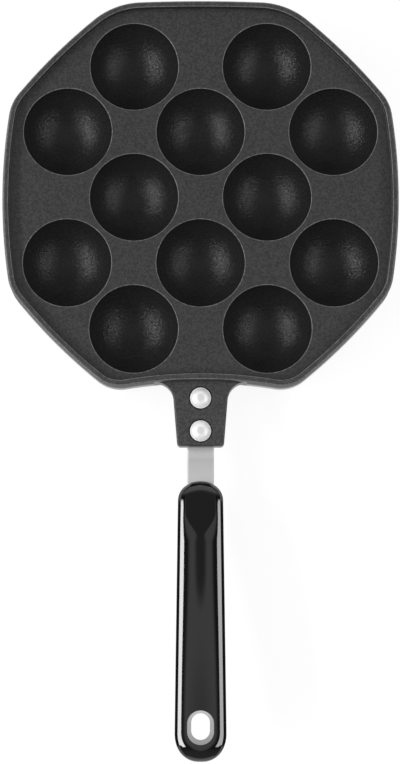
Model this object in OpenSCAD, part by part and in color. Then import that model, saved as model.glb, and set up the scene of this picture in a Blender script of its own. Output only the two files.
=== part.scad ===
// Stovetop takoyaki pan: a cast plate with twelve round cups, and a moulded grip on a riveted steel tang.
// Millimetres. The pan stands on the feet of its cups at z = 0 and the handle points along -Y.

/* [Cups] */
// Half of the distance between two cups of one row
cup_step = 33.6; // [33:0.1:34]
// Radius of a cup where its round inside meets the mouth
cup_r = 21.9; // [20:0.1:22.2]
// Depth of a cup below the plate
cup_depth = 20; // [17:0.5:21]
// Thickness of a cup's shell
cup_wall = 2.4; // [2:0.1:2.6]
// Width of the rounded edge of a cup's mouth
mouth_edge = 0.9; // [0.5:0.1:1]
// Radius of the flat foot under a cup
foot_r = 9; // [7:0.5:10]

/* [Pan] */
// From the middle of the cups to the left and right edges
side_reach = 99.9; // [98:0.1:102]
// From the middle of the cups to the slanted edges
slant_reach = 103.6; // [102:0.1:105]
// From the middle of the cups to the edge opposite the handle
far_reach = 100.4; // [99:0.1:102]
// From the middle of the cups to the hollow edge beside the handle
near_reach = 93.3; // [92.5:0.1:94]
// Radius of the outward bow of the side and slanted edges
bow_r = 284; // [260:1:320]
// Radius of the flatter bow of the edge opposite the handle
far_bow_r = 760; // [500:10:1000]
// Radius of the inward bow of the edge at the handle
hollow_r = 227; // [200:1:260]
// Radius of the two far corners
far_corner_r = 38.5; // [24:0.5:44]
// Radius of the four side corners
side_corner_r = 22.5; // [18:0.5:26]
// Radius of the two corners beside the handle
near_corner_r = 18.5; // [16:0.5:22]
// Thickness of the plate
plate_t = 3; // [2.5:0.1:4]
// Thickness of the upright wall, and width of the rim
rim_w = 3; // [2.6:0.1:3.2]
// Height of the rim above the plate
rim_rise = 4.5; // [3:0.1:6]
// Height of the wall's lower edge above the ground
skirt_z = 9; // [6:0.5:14]

/* [Boss] */
// Width of the boss at the wall
boss_root_w = 28.6; // [26:0.2:30]
// Width of the boss at its end
boss_end_w = 23.4; // [22:0.2:26]
// How far the boss reaches out from the wall
boss_len = 33.1; // [31:0.1:36]
// Thickness of the boss
boss_t = 9; // [8:0.5:12]
// Radius of the fillets between the boss and the wall
root_r = 9; // [6:0.5:11]
// Radius of the boss's end corners
end_r = 2; // [1.6:0.1:3]

/* [Rivets] */
// Diameter of a rivet's domed head
head_d = 10.5; // [9:0.1:11]
// Height of a rivet's domed head
head_h = 3; // [2:0.1:4]
// Diameter of a rivet's shank
shank_d = 5; // [4:0.5:6]
// Distance between the two rivets
rivet_gap = 16.6; // [15:0.1:18]
// From the pan's wall to the first rivet
rivet_inset = 8.9; // [8:0.1:10]

/* [Tang] */
// Width of the steel strip
tang_w = 13.6; // [12:0.1:14]
// Thickness of the steel strip
tang_t = 2.6; // [2:0.1:3]
// Upward slope of the handle
rise = 10; // [6:0.5:14]
// Length of the strip inside the grip
tang_grip_len = 46; // [40:1:60]

/* [Grip] */
// Length of the grip
grip_len = 140.3; // [135:0.1:150]
// Gap between the boss and the grip
grip_gap = 17.3; // [14:0.1:20]
// Width of the grip at its front
grip_front_w = 22.3; // [20:0.1:24]
// Width of the grip at the hanging hole
grip_rear_w = 25.4; // [24:0.1:28]
// Height of the grip above the strip's middle
grip_top = 7.6; // [6:0.1:9]
// Depth of the grip below the strip's middle at its two ends
grip_under = 8; // [7:0.1:9]
// Extra depth of the grip at the middle of its length
grip_belly = 1.8; // [0:0.1:3]
// Depth of the shallow dish along the top
dish = 0.45; // [0:0.05:0.8]
// How far the top falls away towards the grip's front
nose_drop = 1.8; // [0:0.1:2.5]
// Length of the sloping front of the top
nose_len = 28; // [20:1:40]
// How far the grip's end bends down from the strip's line
droop = 9; // [0:0.5:12]
// From the grip's front to where it starts to bend down
droop_start = 50; // [47:1:70]
// How much thinner the grip's end is above and below
tail_thin = 2; // [0:0.1:3]
// Width of the hanging hole
hole_w = 9.2; // [8:0.1:10]
// Length of the hanging hole
hole_len = 13; // [12:0.1:15]
// From the grip's end to the middle of the hanging hole
hole_inset = 17; // [15:0.5:20]
// Width of the rounded edge of the hanging hole
hole_edge = 2.4; // [1:0.1:3]
// From the grip's front to the screw under it
screw_inset = 31; // [25:1:38]

/* [Hidden] */

play = 0.1;                                   // clearance beside the strip in its seats
skin = 0.5;                                   // overlap that makes cuts run clear of a face
cup_ball_r = (cup_r * cup_r + cup_depth * cup_depth) / (2 * cup_depth);
plate_z = cup_depth + cup_wall + 0.6;         // top of the plate
cup_z = plate_z - cup_depth + cup_ball_r;     // centre of a cup's ball
under_z = plate_z - plate_t;
rim_z = plate_z + rim_rise;
boss_z = plate_z;                             // top of the boss
seat_z = boss_z - boss_t;                     // underside of the boss and of the strip
strip_z = seat_z + tang_t / 2;                // middle of the strip's thickness
boss_end_y = -near_reach - boss_len;
grip_y = boss_end_y - grip_gap;               // front of the grip
bend_y = boss_end_y - 4;                      // where the strip starts to bend up
bend_r = 15;
grip_z = strip_z + bend_r * (1 - cos(rise))   // middle of the strip at the front of the grip
    + (bend_y - bend_r * sin(rise) - grip_y) * tan(rise);
// The pan is set forward so that the whole length is centred on the origin.
pan_y = (grip_len * cos(rise) + droop * sin(rise) - grip_y - far_reach) / 2;
rivet_ys = [for (i = [0, 1]) -near_reach - rivet_inset - i * rivet_gap];
spot_r = head_d / 2 + 0.7;                    // spot-face round a rivet's head
spot_h = 0.5;
bend_power = 2.5;                             // how late and how strongly the grip's end bends
hole_s = grip_len - hole_inset;
// The hanging hole stands square to the bent end.
hole_lean = atan(bend_power * droop / (grip_len - droop_start)
    * pow((hole_s - droop_start) / (grip_len - droop_start), bend_power - 1));
screw_r = 2.5;
screw_head_r = 4.5;
screw_head_h = 2.8;
screw_seat = 5.2;                             // below the strip's middle
arc_steps = 8;                                // points along each long bow
corner_steps = 5;                             // points round each corner

// The twelve cups, in rows of two and three
cup_places = [for (row = [-2:2], column = [-2:2])
    if ((row + column) % 2 != 0 && abs(row * column) < 4) cup_step * [column, row]];

// ---- Outlines made of arcs that run smoothly into each other ----

function along(angle) = [cos(angle), sin(angle)];
function heading(v) = (atan2(v.y, v.x) + 360) % 360;

// The left one of the two points that lie r1 from c1 and r2 from c2
function meet(c1, r1, c2, r2) =
    let (d = norm(c2 - c1), u = (c2 - c1) / d,
         a = (r1 * r1 - r2 * r2 + d * d) / (2 * d),
         h = sqrt(r1 * r1 - a * a), foot = c1 + a * u, side = h * [-u.y, u.x])
    (foot + side).x < (foot - side).x ? foot + side : foot - side;

function bow_centre(angle, reach, r = bow_r) = (reach - r) * along(angle);

// The left half of the pan's edge, from the far middle to the handle: centre, radius, from, to, steps
function left_arcs() =
    let (far = bow_centre(90, far_reach, far_bow_r), upper = bow_centre(135, slant_reach),
         left = bow_centre(180, side_reach), lower = bow_centre(225, slant_reach),
         hollow = [0, -near_reach - hollow_r],
         k1 = meet(far, far_bow_r - far_corner_r, upper, bow_r - far_corner_r),
         k2 = meet(upper, bow_r - side_corner_r, left, bow_r - side_corner_r),
         k3 = meet(left, bow_r - side_corner_r, lower, bow_r - side_corner_r),
         k4 = meet(lower, bow_r - near_corner_r, hollow, hollow_r + near_corner_r))
    [[far, far_bow_r, 90, heading(k1 - far), arc_steps / 2],
     [k1, far_corner_r, heading(k1 - far), heading(k1 - upper), corner_steps],
     [upper, bow_r, heading(k1 - upper), heading(k2 - upper), arc_steps],
     [k2, side_corner_r, heading(k2 - upper), heading(k2 - left), corner_steps],
     [left, bow_r, heading(k2 - left), heading(k3 - left), arc_steps],
     [k3, side_corner_r, heading(k3 - left), heading(k3 - lower), corner_steps],
     [lower, bow_r, heading(k3 - lower), heading(k4 - lower), arc_steps],
     [k4, near_corner_r, heading(k4 - lower), heading(hollow - k4), corner_steps + 2],
     [hollow, -hollow_r, heading(k4 - hollow), 90, arc_steps / 2]];

// A hollow arc has a negative radius here: it grows where the others shrink, and runs the other way round.
function arc_points(arc, inset) =
    let (r = abs(arc[1] - inset))
    [for (i = [0 : arc[4] - 1]) arc[0] + r * along(arc[2] + (arc[3] - arc[2]) * i / arc[4])];

function mirrored(half) =
    concat(half, [for (i = [len(half) - 2 : -1 : 1]) [-half[i].x, half[i].y]]);

function pan_outline(inset) =
    mirrored(concat([for (arc = left_arcs()) each arc_points(arc, inset)],
                    [[0, -near_reach + inset]]));

// The corner p1 of a path from p0 to p2, rounded
function rounded(p0, p1, p2, r, steps) =
    let (u = (p0 - p1) / norm(p0 - p1), v = (p2 - p1) / norm(p2 - p1),
         half = acos(u * v) / 2, c = p1 + (u + v) / norm(u + v) * r / sin(half),
         from = heading(p1 + u * r / tan(half) - c), to = heading(p1 + v * r / tan(half) - c),
         turn = (to - from + 540) % 360 - 180)
    [for (i = [0:steps]) c + r * along(from + turn * i / steps)];

function boss_outline(inset) =
    let (back = -near_reach + 1.5, wall = -near_reach - 0.9, wide = boss_root_w / 2 + root_r + 3,
         root = [-boss_root_w / 2 + inset, wall], end = [-boss_end_w / 2 + inset, boss_end_y + inset])
    mirrored(concat([[0, back], [-wide, back]],
                    rounded([-wide - 1, wall], root, end, root_r + inset, 6),
                    rounded(root, end, [0, end.y], end_r - inset, 4),
                    [[0, end.y]]));

// A solid through stacked outlines of equally many points, each [points, z]. Its two ends are flat.
module stack(levels) {
    n = len(levels[0][0]);
    last = (len(levels) - 1) * n;
    points = [for (level = levels, p = level[0]) [p.x, p.y, level[1]]];
    sides = [for (j = [0 : len(levels) - 2], i = [0 : n - 1])
        let (a = j * n + i, b = j * n + (i + 1) % n)
        each [[a, a + n, b + n], [a, b + n, b]]];
    ends = [for (i = [1 : n - 2]) each [[0, i, i + 1], [last, last + i + 1, last + i]]];
    polyhedron(points, concat(sides, ends));
}

// ---- The casting ----

module plate_and_wall() {
    edge = rim_w / 2 - 0.1;
    profile = concat(
        [[rim_w + 0.6, under_z], [rim_w, under_z - 0.7], [rim_w - 0.3, skirt_z + 0.3],
         [rim_w - 0.6, skirt_z], [0.6, skirt_z], [0.15, skirt_z + 0.5]],
        [for (a = [0:30:90]) [edge * (1 - cos(a)), rim_z - edge * (1 - sin(a))]],
        [for (a = [0:30:90]) [rim_w - 1 + sin(a), rim_z - 1 + cos(a)]],
        [[rim_w + 0.15, plate_z + 0.8], [rim_w + 0.9, plate_z]]);
    stack([for (p = profile) [pan_outline(p.x), p.y]]);
}

module handle_boss() {
    round_edge = 1;
    stack(concat(
        [[boss_outline(0.5), seat_z], [boss_outline(0), seat_z + 0.5]],
        [for (a = [0:30:90])
            [boss_outline(round_edge * (1 - cos(a))), boss_z - round_edge * (1 - sin(a))]]));
}

module cup_shell() {
    ball_r = cup_ball_r + cup_wall;
    foot_h = cup_z - sqrt(ball_r * ball_r - foot_r * foot_r);
    intersection() {
        translate([0, 0, cup_z]) sphere(r = ball_r, $fn = 96);
        cylinder(r = ball_r + 1, h = under_z + plate_t / 2, $fn = 96);
    }
    cylinder(r = foot_r, h = foot_h + 0.4, $fn = 96);
}

module cup_hollow() {
    translate([0, 0, cup_z]) sphere(r = cup_ball_r, $fn = 96);
    translate([0, 0, plate_z - 1.2])
        cylinder(r1 = cup_r - 0.25, r2 = cup_r + 0.4, h = 0.9, $fn = 96);
    translate([0, 0, plate_z - mouth_edge / 2])
        cylinder(r1 = cup_r + 0.2, r2 = cup_r + 0.3 + mouth_edge * 1.3, h = mouth_edge, $fn = 96);
}

module pan() {
    color("#404042")
    translate([0, pan_y, 0])
    difference() {
        union() {
            plate_and_wall();
            handle_boss();
            for (p = cup_places) translate(p) cup_shell();
        }
        for (p = cup_places) translate(p) cup_hollow();
        for (y = rivet_ys) translate([0, y, 0]) {
            translate([0, 0, seat_z - 1]) cylinder(d = shank_d, h = boss_t + 2, $fn = 48);
            translate([0, 0, boss_z - spot_h]) cylinder(r = spot_r, h = spot_h + 1, $fn = 64);
        }
        // The seat of the strip, open below and at the boss's end
        translate([-tang_w / 2 - play, boss_end_y - skin, seat_z - skin])
            cube([tang_w + 2 * play, rivet_inset + rivet_gap + 13, tang_t + skin]);
    }
}

// ---- The handle ----

// Places what follows on the sloping middle of the strip, at the front of the grip
module on_handle() {
    translate([0, pan_y + grip_y, grip_z]) rotate([-rise, 0, 0]) children();
}

module tang() {
    start = rivet_ys[0] + 5.5;
    bent = [for (a = [0 : rise / 5 : rise]) [bend_y - bend_r * sin(a), strip_z + bend_r * (1 - cos(a)), a]];
    finish = [grip_y - tang_grip_len * cos(rise), grip_z + tang_grip_len * sin(rise), rise];
    middle = concat([[start, strip_z, 0]], bent, [finish]);
    function face(side) = [for (m = middle) [m.x, m.y] + side * tang_t / 2 * [sin(m.z), cos(m.z)]];
    low = face(-1);
    color("#b9bcbf")
    difference() {
        translate([0, pan_y, 0])
        difference() {
            rotate([90, 0, 90]) translate([0, 0, -tang_w / 2])
                linear_extrude(tang_w)
                    polygon(concat(face(1), [for (i = [len(low) - 1 : -1 : 0]) low[i]]));
            for (y = rivet_ys)
                translate([0, y, seat_z - 1]) cylinder(d = shank_d, h = tang_t + 2, $fn = 48);
        }
        on_handle() translate([0, -screw_inset, -tang_t]) cylinder(r = screw_r, h = 2 * tang_t, $fn = 48);
    }
}

module rivet(y) {
    dome_r = (head_d * head_d / 4 + head_h * head_h) / (2 * head_h);
    dome_angle = asin(head_d / 2 / dome_r);
    tail_r = 4;
    tail_h = 1.6;
    seat = boss_z - spot_h;
    color("#e4e6e8")
    translate([0, pan_y + y, 0])
        rotate_extrude($fn = 96)
            polygon(concat(
                [[0, seat_z - tail_h], [tail_r - 1, seat_z - tail_h], [tail_r - 0.2, seat_z - tail_h + 0.6],
                 [tail_r, seat_z], [shank_d / 2, seat_z], [shank_d / 2, seat], [head_d / 2, seat]],
                [for (i = [1:9]) let (a = dome_angle * (1 - i / 9))
                    [dome_r * sin(a), seat + head_h - dome_r * (1 - cos(a))]]));
}

// Half-width, height above and depth below the strip's middle, s from the grip's front
function swell(s, front, rear) =
    let (f = max(0, 1 - s / front), r = max(0, 1 - (grip_len - s) / rear))
    pow(1 - pow(f, 2), 0.5) * pow(max(0, 1 - pow(r, 2.2)), 1 / 2.2);
function grip_half_w(s) =
    (grip_front_w + (grip_rear_w - grip_front_w) * s / (grip_len - hole_inset)) / 2 * swell(s, 10.8, 13.6);
function bend(s) = pow(max(0, s - droop_start) / (grip_len - droop_start), bend_power);
function grip_up(s) = (grip_top - nose_drop * pow(max(0, 1 - s / nose_len), 1.6)
    - tail_thin * bend(s)) * swell(s, 9, 9);
function grip_down(s) = (grip_under + grip_belly * sin(180 * s / grip_len)
    - tail_thin * bend(s)) * swell(s, 9, 10);

// A cross-section: nearly flat with round shoulders above, rounder below, with a shallow dish on top
function grip_section(s, steps) =
    [for (i = [0 : steps - 1])
        let (a = 360 * i / steps, over = sin(a) >= 0, n = over ? 4 : 2.6,
             r = pow(pow(abs(cos(a)), n) + pow(abs(sin(a)), n), -1 / n),
             x = grip_half_w(s) * r * cos(a), z = (over ? grip_up(s) : grip_down(s)) * r * sin(a),
             across = over ? max(0, 1 - pow(x / (0.62 * grip_half_w(s)), 2)) : 0,
             lengthwise = min(1, max(0, (s - 5) / 15), max(0, (grip_len - 32 - s) / 60)))
        [x, z - dish * across * across * lengthwise - droop * bend(s)]];

// Places of the cross-sections: close together where the ends round off
function grip_stations() = concat(
    [for (a = [10:10:80]) 10.8 * (1 - cos(a))],
    [for (s = [10.8, 14, 18, 22, 26, 31]) s],
    [for (i = [1:13]) 31 + (grip_len - 31 - 13.6) * i / 13],
    [for (a = [12:11:78]) grip_len - 13.6 * (1 - sin(a))]);

module grip_body() {
    steps = 40;
    stations = grip_stations();
    last = (len(stations) - 1) * steps;
    points = [for (s = stations, p = grip_section(s, steps)) [p.x, -s, p.y]];
    sides = [for (j = [0 : len(stations) - 2], i = [0 : steps - 1])
        let (a = j * steps + i, b = j * steps + (i + 1) % steps)
        each [[a, a + steps, b + steps], [a, b + steps, b]]];
    ends = [for (i = [1 : steps - 2]) each [[0, i, i + 1], [last, last + i + 1, last + i]]];
    polyhedron(points, concat(sides, ends));
}

// An oval of the hanging hole's shape, r1 below and r2 above
module oval(r1, r2, h) {
    hull()
        for (end = [-1, 1])
            translate([0, end * (hole_len - hole_w) / 2, 0]) cylinder(r1 = r1, r2 = r2, h = h, $fn = 32);
}

module hanging_hole() {
    r = hole_w / 2;
    run = (hole_len - hole_w) / 2;
    top = grip_up(hole_s);
    for (end = [-1, 1]) translate([0, end * run, -15]) cylinder(r = r, h = 30, $fn = 64);
    translate([-r, -run, -15]) cube([hole_w, 2 * run, 30]);
    translate([0, 0, top - hole_edge]) oval(r - 0.05, r + hole_edge * 0.35, hole_edge * 0.7);
    translate([0, 0, top - hole_edge * 0.45]) oval(r + hole_edge * 0.15, r + hole_edge * 1.3, hole_edge * 0.6);
    translate([0, 0, -grip_down(hole_s)]) oval(r + hole_edge, r - 0.05, hole_edge);
}

module grip() {
    color("#171718")
    on_handle()
    difference() {
        grip_body();
        translate([-tang_w / 2 - play, -tang_grip_len - skin, -tang_t / 2])
            cube([tang_w + 2 * play, tang_grip_len + 2 * skin, tang_t]);
        translate([0, -hole_s, -droop * bend(hole_s)]) rotate([hole_lean, 0, 0]) hanging_hole();
        translate([0, -screw_inset, -15]) {
            cylinder(r = screw_r + 0.3, h = 15, $fn = 48);
            cylinder(r = screw_head_r + 0.8, h = 15 - screw_seat, $fn = 64);
        }
    }
}

module grip_screw() {
    slot_w = 1.2;
    color("#a9acaf")
    on_handle() translate([0, -screw_inset, -screw_seat - screw_head_h])
    difference() {
        rotate_extrude($fn = 64)
            polygon([[0, 0], [screw_head_r - 1.6, 0], [screw_head_r - 0.5, 0.5], [screw_head_r, 1.4],
                     [screw_head_r, screw_head_h], [screw_r, screw_head_h],
                     [screw_r, screw_head_h + screw_seat + tang_t / 2],
                     [0, screw_head_h + screw_seat + tang_t / 2]]);
        for (a = [0, 90]) rotate(a)
            translate([-2.4, -slot_w / 2, -skin]) cube([4.8, slot_w, skin + 1.5]);
    }
}

pan();
tang();
rivet(rivet_ys[0]);  // rivet_front
rivet(rivet_ys[1]);  // rivet_rear
grip();
grip_screw();
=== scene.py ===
"""Looks of a stovetop takoyaki pan: a coated casting with twelve cups, and a moulded grip on a steel tang.

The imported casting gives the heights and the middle. The pieces here follow the outlines of the
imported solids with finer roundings, and carry the finishes. Lengths are worked out in millimetres
and turned into metres last.
"""

from __future__ import annotations

import logging
from dataclasses import dataclass, field
from enum import Enum
from functools import cached_property
from math import acos, asin, atan, atan2, cos, degrees, dist, hypot, pi, radians, sin, sqrt, tan
from typing import Callable, Sequence

import bmesh
import bpy
from mathutils import Matrix, Vector

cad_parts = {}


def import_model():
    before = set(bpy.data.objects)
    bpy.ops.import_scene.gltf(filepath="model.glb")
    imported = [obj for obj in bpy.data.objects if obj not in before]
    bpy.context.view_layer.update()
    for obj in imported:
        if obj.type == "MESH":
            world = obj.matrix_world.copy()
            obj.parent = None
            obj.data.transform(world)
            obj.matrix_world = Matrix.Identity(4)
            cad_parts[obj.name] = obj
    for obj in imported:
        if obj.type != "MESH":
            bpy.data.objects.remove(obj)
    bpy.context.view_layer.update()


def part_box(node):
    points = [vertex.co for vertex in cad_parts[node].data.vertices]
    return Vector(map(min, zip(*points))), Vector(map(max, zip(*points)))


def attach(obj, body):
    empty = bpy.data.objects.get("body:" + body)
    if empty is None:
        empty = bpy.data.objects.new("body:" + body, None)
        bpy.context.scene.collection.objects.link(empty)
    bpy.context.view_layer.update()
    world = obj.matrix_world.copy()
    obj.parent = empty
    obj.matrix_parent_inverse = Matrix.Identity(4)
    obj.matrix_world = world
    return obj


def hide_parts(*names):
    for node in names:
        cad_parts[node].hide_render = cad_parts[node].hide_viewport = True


LOG = logging.getLogger("takoyaki_pan")
MM = 0.001
Point = tuple[float, float]
Placed = tuple[float, float, float]
Values = dict[str | int, object]
Solid = bpy.types.Object
Material = bpy.types.Material


# ---- Shader maths ----


@dataclass(frozen=True)
class Wire:
    """An output socket of a shader node that takes part in Python arithmetic."""

    graph: Graph
    socket: bpy.types.NodeSocket

    def math(self, operation: str, *operands: Wire | float) -> Wire:
        """The result of one Math node on the operands, in their order."""
        node = self.graph.add("ShaderNodeMath", {"operation": operation}, dict(enumerate(operands)))
        return Wire(self.graph, node.outputs[0])

    def __add__(self, other: Wire | float) -> Wire:
        """Sum."""
        return self.math("ADD", self, other)

    __radd__ = __add__

    def __sub__(self, other: Wire | float) -> Wire:
        """Difference."""
        return self.math("SUBTRACT", self, other)

    def __rsub__(self, other: float) -> Wire:
        """Difference from a number."""
        return self.math("SUBTRACT", other, self)

    def __mul__(self, other: Wire | float) -> Wire:
        """Product."""
        return self.math("MULTIPLY", self, other)

    __rmul__ = __mul__

    def __truediv__(self, other: Wire | float) -> Wire:
        """Quotient."""
        return self.math("DIVIDE", self, other)

    def __rtruediv__(self, other: float) -> Wire:
        """Quotient of a number."""
        return self.math("DIVIDE", other, self)

    def fades(self, low: float, high: float) -> Wire:
        """A smooth step from 0 at low to 1 at high."""
        kind, span = "ShaderNodeMapRange", {"Value": self, "From Min": low, "From Max": high}
        return self.graph.wire(self.graph.add(kind, {"interpolation_type": "SMOOTHSTEP"}, span))


class Graph:
    """The nodes of a material or of the world."""

    def __init__(self, owner: bpy.types.Material | bpy.types.World, output: str) -> None:
        """Empties the owner's node tree.

        Args:
            owner: What the nodes belong to.
            output: Type of its output node.
        """
        self.owner = owner
        owner.use_nodes = True
        self.tree = owner.node_tree
        self.tree.nodes.clear()
        self.output = self.add(output)

    @classmethod
    def of_material(cls, name: str) -> Graph:
        """The graph of a new material."""
        return cls(bpy.data.materials.new(name), "ShaderNodeOutputMaterial")

    def add(self, kind: str, settings: Values | None = None, sockets: Values | None = None) -> bpy.types.Node:
        """Adds any node.

        Args:
            kind: The node's type.
            settings: Properties of the node, set before its sockets.
            sockets: Values or links of its inputs, by name or number.

        Returns:
            The node.
        """
        node = self.tree.nodes.new(kind)
        for key, value in (settings or {}).items():
            setattr(node, key, value)
        for key, value in (sockets or {}).items():
            if isinstance(value, Wire):
                self.tree.links.new(value.socket, node.inputs[key])
            else:
                node.inputs[key].default_value = value
        return node

    def wire(self, node: bpy.types.Node, socket: str | int = 0) -> Wire:
        """An output of a node, ready for arithmetic."""
        return Wire(self, node.outputs[socket])

    @cached_property
    def place(self) -> Wire:
        """The surface point in the object's own metres."""
        return self.wire(self.add("ShaderNodeTexCoord"), "Object")

    def stretched(self, place: Wire, scale: Placed) -> Wire:
        """A place with each axis scaled."""
        return self.wire(self.add("ShaderNodeVectorMath", {"operation": "MULTIPLY"}, {0: place, 1: scale}))

    def noise(self, scale: float, detail: float = 2.0, rough: float = 0.5, place: Wire | None = None) -> Wire:
        """Noise between 0 and 1, with features of about 1/scale metres."""
        sockets = {"Vector": place or self.place, "Scale": scale, "Detail": detail, "Roughness": rough}
        return self.wire(self.add("ShaderNodeTexNoise", {"noise_dimensions": "3D"}, sockets), "Fac")

    def axis(self, place: Wire, letter: str) -> Wire:
        """One coordinate of a place."""
        return self.wire(self.add("ShaderNodeSeparateXYZ", None, {0: place}), letter)

    def stored(self, name: str) -> Wire:
        """A number that is stored on the mesh."""
        return self.wire(self.add("ShaderNodeAttribute", {"attribute_name": name}), "Fac")

    def blend(self, factor: Wire | float, a: tuple | Wire, b: tuple | Wire) -> Wire:
        """A colour between a, at 0, and b, at 1."""
        return self.wire(self.add("ShaderNodeMix", {"data_type": "RGBA"}, {0: factor, 6: a, 7: b}), 2)

    def bump(self, height: Wire, strength: float, depth_mm: float) -> Wire:
        """A normal bent by a height between 0 and 1."""
        sockets = {"Height": height, "Strength": strength, "Distance": depth_mm * MM}
        return self.wire(self.add("ShaderNodeBump", None, sockets))

    def finish(self, **sockets: object) -> Material:
        """Adds the surface shader and closes the material.

        Args:
            sockets: Inputs of the Principled shader, with _ for a space.

        Returns:
            The material.
        """
        named = {key.replace("_", " "): value for key, value in sockets.items()}
        shader = self.add("ShaderNodeBsdfPrincipled", None, named)
        self.tree.links.new(shader.outputs[0], self.output.inputs["Surface"])
        return self.owner


def grey(value: float) -> tuple[float, float, float, float]:
    """A neutral colour."""
    return (value, value, value, 1.0)


@dataclass(frozen=True)
class NonStickCoat:
    """Dark matt coat on the cooking side, sprayed over a cast surface."""

    name: str
    tone: float
    speckle: float
    gloss: float
    grain_mm: float
    relief: float
    ior: float = 1.5
    depth_mm: float = 0.08

    def make(self) -> Material:
        """Builds the material.

        Returns:
            The material.
        """
        g = Graph.of_material(self.name)
        grain = g.noise(1.0 / (self.grain_mm * MM), rough=0.6)
        fine = g.noise(2.6 / (self.grain_mm * MM), 1.0)
        patches = g.noise(55.0)
        dark, light = grey(self.tone * (1.0 - self.speckle)), grey(self.tone * (1.0 + self.speckle))
        return g.finish(
            Base_Color=g.blend(grain.fades(0.38, 0.62), dark, light),
            Roughness=self.gloss + 0.16 * (fine - 0.5) + 0.06 * (patches - 0.5),
            Normal=g.bump(grain + 0.4 * fine, self.relief, self.depth_mm),
            IOR=self.ior,
        )


@dataclass(frozen=True)
class BareCasting:
    """Bare cast aluminium on the outer wall and the underside, with the coat's overspray under the rim."""

    name: str
    spray_from: float
    spray_to: float

    def make(self) -> Material:
        """Builds the material.

        Returns:
            The material.
        """
        g = Graph.of_material(self.name)
        sand = g.noise(1100.0, 3.0, 0.65)
        stains = g.noise(35.0, 3.0)
        height = g.axis(g.place, "Z") / MM + 3.0 * (stains - 0.5) + 4.0 * (sand - 0.5)
        spray = height.fades(self.spray_from, self.spray_to)
        bare = g.blend(stains.fades(0.35, 0.7), grey(0.46), grey(0.56))
        return g.finish(
            Base_Color=g.blend(spray, bare, grey(0.045)),
            Metallic=0.9 - 0.9 * spray,
            Roughness=0.58 + 0.14 * (sand - 0.5) + 0.08 * (stains - 0.5),
            Normal=g.bump(sand, 0.5, 0.08),
        )


@dataclass(frozen=True)
class TurnedFoot:
    """The machined face of a cup's foot, with the rings of the tool."""

    name: str
    ring_rate: float = 14.0

    def make(self) -> Material:
        """Builds the material.

        Returns:
            The material.
        """
        g = Graph.of_material(self.name)
        radius = g.stored("foot_radius")
        rings = radius.math("SINE", radius * self.ring_rate) * 0.5 + 0.5
        return g.finish(
            Base_Color=grey(0.78),
            Metallic=1.0,
            Roughness=0.24 + 0.08 * rings,
            Normal=g.bump(rings, 0.3, 0.02),
        )


@dataclass(frozen=True)
class RolledSteel:
    """Satin steel with fine lines along its length."""

    name: str
    tone: float
    satin: float

    def make(self) -> Material:
        """Builds the material.

        Returns:
            The material.
        """
        g = Graph.of_material(self.name)
        lines = g.noise(4200.0, rough=0.6, place=g.stretched(g.place, (1.0, 0.02, 1.0)))
        cloud = g.noise(120.0)
        return g.finish(
            Base_Color=g.blend(lines, grey(self.tone * 0.96), grey(self.tone * 1.03)),
            Metallic=0.65,
            Roughness=self.satin + 0.08 * (lines - 0.5) + 0.05 * (cloud - 0.5),
            Normal=g.bump(lines, 0.2, 0.01),
        )


@dataclass(frozen=True)
class BrightMetal:
    """Smooth bright metal, with the faint marks of forming, and perhaps a painted reflection in its middle: a
    darker spot that stands for the dark place overhead mirrored in a dome.
    """

    name: str
    tone: float
    polish: float
    metal: float = 1.0
    # Share of the tone in the painted reflection's darker middle; 1 paints none.
    spot: float = 1.0

    def make(self) -> Material:
        """Builds the material.

        Returns:
            The material.
        """
        g = Graph.of_material(self.name)
        marks = g.noise(700.0, 3.0)
        radius = g.stored("painted_reflection_radius")
        bright = g.blend(marks, grey(self.tone * 0.97), grey(self.tone))
        # The painted reflection: darker within about 1.2 to 2.6 mm of the axis, by the stored radius.
        away = (radius + 1.2 * (marks - 0.5)).fades(1.2, 2.6)
        return g.finish(
            Base_Color=g.blend(away, grey(self.tone * self.spot), bright),
            Metallic=self.metal,
            Roughness=self.polish + 0.06 * (marks - 0.5),
            Normal=g.bump(marks, 0.15, 0.02),
        )


@dataclass(frozen=True)
class MouldedBakelite:
    """Glossy black moulding, very slightly uneven, with hair-fine handling marks."""

    name: str
    tone: float

    def make(self) -> Material:
        """Builds the material.

        Returns:
            The material.
        """
        g = Graph.of_material(self.name)
        peel = g.noise(160.0)
        dust = g.noise(1800.0)
        hairs = g.noise(2500.0, place=g.stretched(g.place, (1.0, 0.05, 1.0))).fades(0.6, 0.8)
        return g.finish(
            Base_Color=g.blend(dust, grey(self.tone * 0.8), grey(self.tone * 1.2)),
            Roughness=0.06 + 0.05 * hairs + 0.03 * (dust - 0.5),
            Normal=g.bump(peel, 0.06, 0.05),
            IOR=1.6,
        )


@dataclass(frozen=True)
class PaleFloor:
    """The studio's white floor, lifted a little for the camera and in reflections, with the shadow kept."""

    name: str
    tone: float
    lift: float

    def make(self) -> Material:
        """Builds the material.

        Returns:
            The material.
        """
        g = Graph.of_material(self.name)
        path = g.add("ShaderNodeLightPath")
        rays = ("Is Camera Ray", "Is Glossy Ray", "Is Transmission Ray")
        camera, glossy, clear = (g.wire(path, ray) for ray in rays)
        return g.finish(
            Base_Color=grey(self.tone),
            Roughness=0.9,
            Specular_IOR_Level=0.0,
            Emission_Color=g.blend(camera + glossy + clear, grey(0.0), grey(1.0)),
            Emission_Strength=self.lift,
        )


# ---- Mesh tools ----


def linked(name: str, data: bpy.types.ID) -> Solid:
    """Makes an object and links it to the scene.

    Args:
        name: The object's name.
        data: Its mesh, camera or lamp.

    Returns:
        The object.
    """
    obj = bpy.data.objects.new(name, data)
    bpy.context.scene.collection.objects.link(obj)
    return obj


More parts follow.
